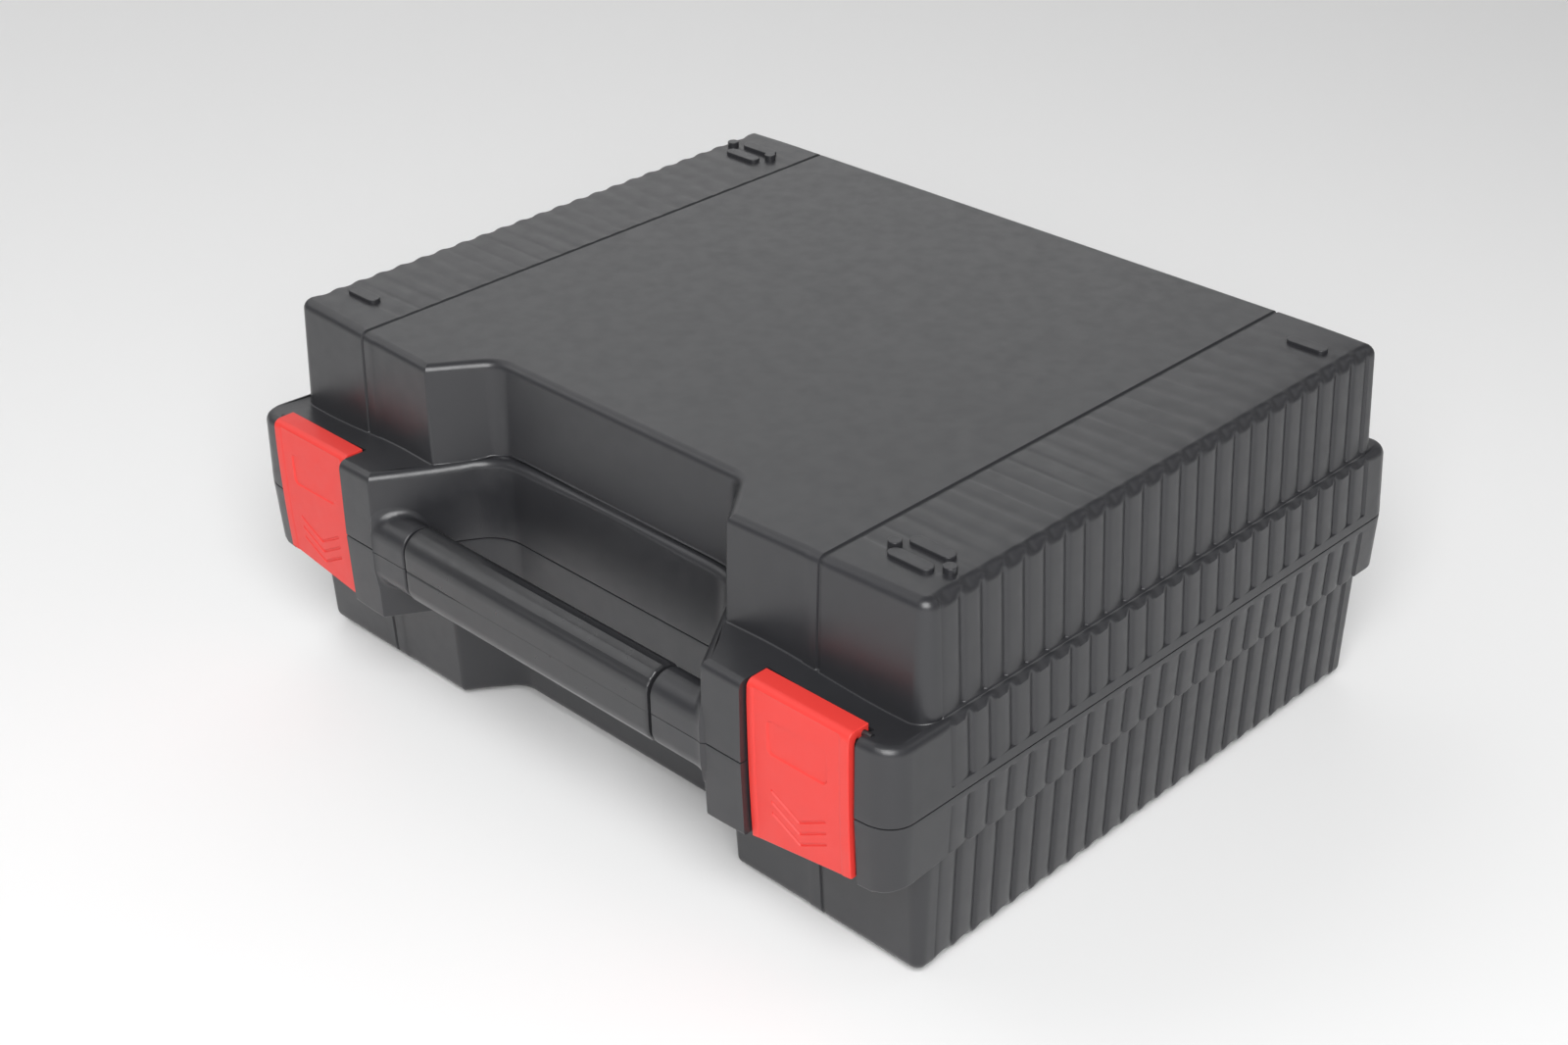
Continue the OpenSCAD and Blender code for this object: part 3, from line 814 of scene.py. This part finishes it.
# ---------------------------------------------------------------- latches
def build_latch(name, body, sx):
    """One latch: side profile swept across, with eased ends, raised borders,
    a blank field and three arrow grooves. Local x runs outboard."""
    zt, zb = 108.3, 45.8             # top of the lip, lower end at the middle
    yf, t = LF, 3.4

    def lean(z):
        u = (z - 90.0) / (90.0 - zb)
        return 1.3 * min(0.0, u) ** 2 + 0.25 * max(0.0, (z - 96) / 10) ** 2

    pts = []
    # outer face, bottom to top: it leans in a little towards the lower end
    for z in np.linspace(zb + 0.6, zt - 3.2, 13):
        pts.append((yf + lean(z), z))
    y9 = pts[-1][0]
    for k in range(1, 8):                      # rounded shoulder to the lip
        a = math.radians(180 - 90 * k / 7)
        pts.append((y9 + 3.2 + 3.2 * math.cos(a), zt - 3.2 + 3.2 * math.sin(a)))
    pts += [(7.6, zt), (11.0, zt), (11.35, zt - 0.1), (11.5, zt - 0.4), (11.5, zt - 1.5)]
    for k in range(2, 13):                     # barrel round the pin
        a = math.radians(50 - 190 * k / 12)
        pts.append((PY + 2.5 * math.cos(a), PZ + 2.5 * math.sin(a)))
    pts.append((6.9, zt - 2.9))
    pts.append((6.3, zt - 3.0))
    pts.append((yf + t + 0.5, zt - 3.6))
    pts.append((yf + t, zt - 4.8))
    for z in np.linspace(zt - 8, zb + 0.5, 8):
        pts.append((yf + t + 0.6 * lean(z), z))
    pts.append((yf + t + 0.5, zb))
    pts.append((yf + 2.1, zb))
    P = np.array(pts)
    # inward offset of the closed profile
    nxt, prv = np.roll(P, -1, 0), np.roll(P, 1, 0)
    d = nxt - prv
    d /= np.linalg.norm(d, axis=1)[:, None]
    nrm = np.stack([-d[:, 1], d[:, 0]], 1)
    area = 0.5 * np.sum(P[:, 0] * nxt[:, 1] - nxt[:, 0] * P[:, 1])
    if area < 0:
        nrm = -nrm

    def warp(x, y, z):
        """Slants the lower end: the inboard corner hangs lower."""
        return y, z + 0.14 * x * float(np.interp(z, [zb, 92.0], [1.0, 0.0]))

    xs = []
    ends = [(0.0, 0.42), (0.08, 0.22), (0.2, 0.08), (0.42, 0.0)]
    for dx, g in ends:
        xs.append((-LW + dx, g))
    for x in (-20.9, -20.3, -19.7, -9.0, 0.0, 9.0, 18.7, 19.3, 19.9):
        xs.append((x, 0.0))
    for dx, g in ends[::-1]:
        xs.append((LW - dx, g))
    rings = []
    for x, g in xs:
        Q = P + nrm * g
        if -20.6 < x < 19.6:
            # the field between the raised borders lies back a little
            dep = 0.35 * float(smooth(-20.9, -19.8, x)) * float(smooth(19.9, 18.8, x))
            sel = (Q[:, 0] < yf + 1.8) & (Q[:, 1] < zt - 2.0) & (Q[:, 1] > zb + 0.3)
            Q[sel, 0] += dep
        rings.append([(x, *warp(x, a, b)) for a, b in Q])
    ob = loft_mesh(rings, name)
    # hook behind the plate
    hook = []
    for x, g in ((-9, 0.3), (-8.7, 0.0), (8.7, 0.0), (9, 0.3)):
        b0 = yf + t - 1.0
        hook.append([(x, b0, 57.0 + g), (x, b0 + 1.2, 57.2 + g), (x, b0 + 3.6 - g, 59.8), (x, b0 + 3.7 - g, 61.2),
                     (x, b0 + 3.5 - g, 61.5 - g), (x, b0, 61.5 - g)])
    boolean(ob, [loft_mesh(hook)], "UNION")
    cut = [rod(-LW - 1, LW + 1, PY, PZ, 1.25)]

    def face(x, z, dy):
        return (x, yf + lean(z) + 0.35 + dy, z)

    # blank field
    z0, z1 = 83.0, 96.6
    rings = []
    for dy, g in ((-2.0, -0.9), (0.0, -0.25), (0.25, 0.0), (0.5, 0.25)):
        rings.append([face(x, z, dy) for x, z in rrect(-14.0 + g, 13.4 - g, z0 + g, z1 - g, 2.6, 5)])
    cut.append(loft_mesh(rings))
    # arrow grooves
    for k in range(3):
        za = 51.2 + 4.8 * k
        w, rise, hw = 12.7, 7.0, 0.55

        def outline(g):
            top = [(-w - g * 0.3, za + rise), (-w / 2, za + rise / 2), (0, za), (w / 2, za + rise / 2), (w + g * 0.3, za + rise)]
            up = [(x - 0.2, z + hw + g) for x, z in top]
            dn = [(x - 0.2, z - hw - g) for x, z in top]
            return dn + up[::-1]
        rings = [[face(x, z, dy) for x, z in outline(g)] for dy, g in ((-2.0, 1.2), (0.0, 0.15), (0.45, -0.25))]
        cut.append(loft_mesh(rings))
    boolean(ob, cut, "DIFFERENCE")
    ob.data.transform(Matrix.Translation((LX, 0, 0)))
    if sx < 0:
        ob.data.transform(Matrix.Scale(-1, 4, (1, 0, 0)))
        ob.data.flip_normals()
    finish_mesh(ob, angle=30)
    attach(ob, body)
    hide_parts(name)
    ob.name = name + "_visual"
    return ob


# ------------------------------------------------------------------- grip
def build_grip(name, upper):
    """Half of the loose grip: soft facets, eased ends, a seam that closes
    towards the right."""
    s = 1.0 if upper else -1.0
    x0, x1 = RING_L + RING_G, RING_R - RING_G
    xs = [x0, x0 + 0.1, x0 + 0.35, x0 + 0.9] + list(np.linspace(x0 + 2.5, x1 - 2.5, 33)) + [x1 - 0.9, x1 - 0.35, x1 - 0.1, x1]
    rings = []
    for x in xs:
        e = min(x - x0, x1 - x)
        g0 = 0.35 - float(np.interp(e, [0, 0.1, 0.35, 0.9], [0.9, 0.55, 0.22, 0.0]))
        seam = 0.1 + 0.55 * (1 - float(smooth(-60, -25, x)))
        pts = []
        M = 24
        for cy, a0 in ((GY + GHW - GR, 0), (GY - GHW + GR, 90)):
            for k in range(M + 1):
                a = math.radians(a0 + 90 * k / M)
                ny, nh = math.cos(a), math.sin(a)
                # shallow flutes that fade towards the left end and the front
                ph = (math.degrees(a) % 22.5) / 22.5 - 0.5
                on = float(smooth(-60, 10, x)) * float(smooth(165, 140, math.degrees(a)))
                f = -0.28 * on * (1 - (2 * abs(ph)) ** 2)
                g = g0 + f
                pts.append((cy + (GR + g) * ny, (GHH - GR) + (GR + g) * nh + GZ * s))
        yb, yf_ = GY + GHW + g0, GY - GHW - g0
        pts = ([(yb - seam, 0.02), (yb - seam * 0.35, seam * 0.5), (yb - 0.02, seam * 1.3)] + pts
               + [(yf_ + 0.02, seam * 1.3), (yf_ + seam * 0.35, seam * 0.5), (yf_ + seam, 0.02)])
        rings.append([(float(x), y, HALF + s * h) for y, h in pts])
    ob = loft_mesh(rings, name)
    boolean(ob, [rod(x0 - 2, x1 + 2, GY, 72.2, 5.5)], "DIFFERENCE")
    finish_mesh(ob, angle=34)
    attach(ob, "base")
    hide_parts(name)
    ob.name = name + "_visual"
    return ob


lid = build_lid()
base = build_base()
latch_l = build_latch("latch_left", "latch_l", -1)
latch_r = build_latch("latch_right", "latch_r", 1)
grip_u = build_grip("grip_upper", True)
grip_l = build_grip("grip_lower", False)


# ---------------------------------------------------------------- materials
def new_mat(name):
    m = bpy.data.materials.new(name)
    m.use_nodes = True
    nt = m.node_tree
    b = next(n for n in nt.nodes if n.type == "BSDF_PRINCIPLED")
    return m, nt, b


def link(nt, a, ai, b, bi):
    nt.links.new(a.outputs[ai], b.inputs[bi])


def plastic(name, col, rough, grain_scale, grain, spec=0.5, edge=0.0, vary=0.06, coat=0.0, sheen=0.0):
    """Moulded plastic: fine grain, soft broad tone changes, painted highlights on sharp convex edges."""
    m, nt, b = new_mat(name)
    N_ = nt.nodes
    tc = N_.new("ShaderNodeTexCoord")
    fine = N_.new("ShaderNodeTexNoise")
    fine.inputs["Scale"].default_value = grain_scale
    fine.inputs["Detail"].default_value = 3.0
    fine.inputs["Roughness"].default_value = 0.6
    link(nt, tc, "Object", fine, "Vector")
    broad = N_.new("ShaderNodeTexNoise")
    broad.inputs["Scale"].default_value = 14.0
    broad.inputs["Detail"].default_value = 4.0
    link(nt, tc, "Object", broad, "Vector")
    mid = N_.new("ShaderNodeTexNoise")
    mid.inputs["Scale"].default_value = 160.0
    mid.inputs["Detail"].default_value = 5.0
    link(nt, tc, "Object", mid, "Vector")
    # colour
    mix = N_.new("ShaderNodeMix")
    mix.data_type = "RGBA"
    mix.inputs["A"].default_value = (*[c * (1 - vary) for c in col], 1)
    mix.inputs["B"].default_value = (*[min(1, c * (1 + vary)) for c in col], 1)
    link(nt, broad, "Fac", mix, "Factor")
    last = mix
    # painted highlight: convex edges (by pointiness) are lightened towards a paler colour, standing in for edge
    # highlights
    if edge > 0:
        geo = N_.new("ShaderNodeNewGeometry")
        rp = N_.new("ShaderNodeMapRange")
        rp.inputs["From Min"].default_value = 0.52
        rp.inputs["From Max"].default_value = 0.62
        rp.inputs["To Max"].default_value = edge
        link(nt, geo, "Pointiness", rp, "Value")
        e = N_.new("ShaderNodeMix")
        e.data_type = "RGBA"
        e.inputs["B"].default_value = (*[min(1, c * 2.2 + 0.01) for c in col], 1)
        link(nt, rp, "Result", e, "Factor")
        link(nt, last, "Result", e, "A")
        last = e
    nt.links.new(last.outputs["Result"], b.inputs["Base Color"])
    # roughness
    rr = N_.new("ShaderNodeMapRange")
    rr.inputs["From Min"].default_value = 0.3
    rr.inputs["From Max"].default_value = 0.7
    rr.inputs["To Min"].default_value = rough - 0.04
    rr.inputs["To Max"].default_value = rough + 0.05
    link(nt, mid, "Fac", rr, "Value")
    nt.links.new(rr.outputs["Result"], b.inputs["Roughness"])
    # grain
    bump = N_.new("ShaderNodeBump")
    bump.inputs["Strength"].default_value = grain
    bump.inputs["Distance"].default_value = 0.0001
    link(nt, fine, "Fac", bump, "Height")
    nt.links.new(bump.outputs["Normal"], b.inputs["Normal"])
    b.inputs["Specular IOR Level"].default_value = spec
    b.inputs["IOR"].default_value = 1.5
    if coat:
        b.inputs["Coat Weight"].default_value = coat
        b.inputs["Coat Roughness"].default_value = 0.3
    if sheen:
        b.inputs["Sheen Weight"].default_value = sheen
        b.inputs["Sheen Roughness"].default_value = 0.5
    return m


def steel(name, col, rough):
    m, nt, b = new_mat(name)
    N_ = nt.nodes
    tc = N_.new("ShaderNodeTexCoord")
    mp = N_.new("ShaderNodeMapping")
    mp.inputs["Scale"].default_value = (20, 900, 900)
    link(nt, tc, "Object", mp, "Vector")
    n = N_.new("ShaderNodeTexNoise")
    n.inputs["Scale"].default_value = 3.0
    n.inputs["Detail"].default_value = 4.0
    link(nt, mp, "Vector", n, "Vector")
    rr = N_.new("ShaderNodeMapRange")
    rr.inputs["To Min"].default_value = rough - 0.08
    rr.inputs["To Max"].default_value = rough + 0.12
    link(nt, n, "Fac", rr, "Value")
    nt.links.new(rr.outputs["Result"], b.inputs["Roughness"])
    bump = N_.new("ShaderNodeBump")
    bump.inputs["Strength"].default_value = 0.15
    bump.inputs["Distance"].default_value = 0.00005
    link(nt, n, "Fac", bump, "Height")
    nt.links.new(bump.outputs["Normal"], b.inputs["Normal"])
    mix = N_.new("ShaderNodeMix")
    mix.data_type = "RGBA"
    mix.inputs["A"].default_value = (*[c * 0.9 for c in col], 1)
    mix.inputs["B"].default_value = (*col, 1)
    link(nt, n, "Fac", mix, "Factor")
    nt.links.new(mix.outputs["Result"], b.inputs["Base Color"])
    b.inputs["Metallic"].default_value = 1.0
    return m


# edge= sets the strength of the painted highlight on convex edges
M_SHELL = plastic("charcoal_moulded", (0.024, 0.0243, 0.0272), 0.34, 2600.0, 0.30, spec=0.58, edge=0.15)
M_GRIP = plastic("charcoal_grip", (0.024, 0.0243, 0.0265), 0.31, 1800.0, 0.12, spec=0.60, edge=0.12)
M_LATCH = plastic("coral_red", (0.715, 0.042, 0.034), 0.42, 1500.0, 0.10, spec=0.45, edge=0.0, vary=0.03)
M_STEEL = steel("drawn_steel", (0.60, 0.61, 0.63), 0.32)
# painted shade: the latch pins get a dark steel colour so their ends show no glint
M_PIN = steel("pin_steel_painted_dark", (0.10, 0.10, 0.105), 0.5)


def set_mat(ob, m):
    ob.data.materials.clear()
    ob.data.materials.append(m)


for o in (lid, base):
    set_mat(o, M_SHELL)
for o in (grip_u, grip_l):
    set_mat(o, M_GRIP)
for o in (latch_l, latch_r):
    set_mat(o, M_LATCH)
for n in ("latch_pin_left", "latch_pin_right", "hinge_pin_left", "hinge_pin_right", "grip_core"):
    o = nodes[n]
    if not o.material_slots:
        o.data.materials.append(M_STEEL)
    for sl in o.material_slots:
        sl.material = M_PIN if n.startswith("latch_pin") else M_STEEL


# ------------------------------------------------------- floor and lighting
def make_floor():
    bm = bmesh.new()
    # flat floor that rises in a wide curve behind, all one sheet
    prof = [(-3.0, 0.0), (1.6, 0.0)]
    for k in range(1, 13):
        a = math.pi / 2 * k / 12
        prof.append((1.6 + 1.2 * math.sin(a), 1.2 * (1 - math.cos(a))))
    prof.append((2.8, 3.2))
    rows = []
    c, s = math.cos(math.radians(45)), math.sin(math.radians(45))
    for x in np.linspace(-4, 4, 9):
        rows.append([bm.verts.new((x * c - y * s, x * s + y * c, z)) for y, z in prof])
    for a, b in zip(rows[:-1], rows[1:]):
        for i in range(len(prof) - 1):
            bm.faces.new((a[i], b[i], b[i + 1], a[i + 1]))
    bmesh.ops.recalc_face_normals(bm, faces=bm.faces)
    me = bpy.data.meshes.new("floor")
    bm.to_mesh(me)
    bm.free()
    for p in me.polygons:
        p.use_smooth = True
    ob = bpy.data.objects.new("floor", me)
    bpy.context.scene.collection.objects.link(ob)
    m, nt, b = new_mat("floor_paper")
    b.inputs["Base Color"].default_value = (0.86, 0.86, 0.86, 1)
    b.inputs["Roughness"].default_value = 0.75
    me.materials.append(m)
    return ob


make_floor()


def area(name, loc, target, size, power, sy=None, col=(1, 1, 1)):
    d = bpy.data.lights.new(name, "AREA")
    d.shape = "RECTANGLE"
    d.size, d.size_y = size, sy or size
    d.energy = power
    d.color = col
    o = bpy.data.objects.new(name, d)
    bpy.context.scene.collection.objects.link(o)
    o.location = loc
    o.rotation_mode = "QUATERNION"
    o.rotation_quaternion = (Vector(target) - Vector(loc)).to_track_quat("-Z", "Y")
    return o


world = bpy.data.worlds.new("world")
bpy.context.scene.world = world
world.use_nodes = True
bg = world.node_tree.nodes["Background"]
wn, wl = world.node_tree.nodes, world.node_tree.links
wtc = wn.new("ShaderNodeTexCoord")
wsep = wn.new("ShaderNodeSeparateXYZ")
wl.new(wtc.outputs["Generated"], wsep.inputs["Vector"])
ramp = wn.new("ShaderNodeValToRGB")
ramp.color_ramp.elements[0].position = 0.0
ramp.color_ramp.elements[0].color = (1.0, 1.0, 1.0, 1)
ramp.color_ramp.elements[1].position = 1.0
ramp.color_ramp.elements[1].color = (0.3, 0.3, 0.3, 1)
for z, v in ((0.3, 0.55), (0.5, 0.5), (0.65, 0.62)):
    ramp.color_ramp.elements.new(z).color = (v, v, v, 1)
wl.new(wsep.outputs["Z"], ramp.inputs["Fac"])
wl.new(ramp.outputs["Color"], bg.inputs["Color"])
bg.inputs["Strength"].default_value = 0.29

area("key", (1.1, -1.1, 1.4), (0, 0.0, 0.08), 1.4, 52.5)
area("back_card", (-1.5, 1.5, 1.5), (0, 0.0, 0.15), 1.7, 5.5)
area("left_front", (-1.2, -1.05, 1.25), (0, -0.1, 0.1), 0.9, 2.6)
area("left_card", (-1.55, -0.2, 1.75), (0, 0.0, 0.15), 1.9, 9.5)
area("back_right", (1.05, 1.2, 1.25), (0.1, 0.0, 0.1), 0.75, 1.2)

bpy.context.scene.view_settings.view_transform = "Standard"
bpy.context.scene.view_settings.look = "None"
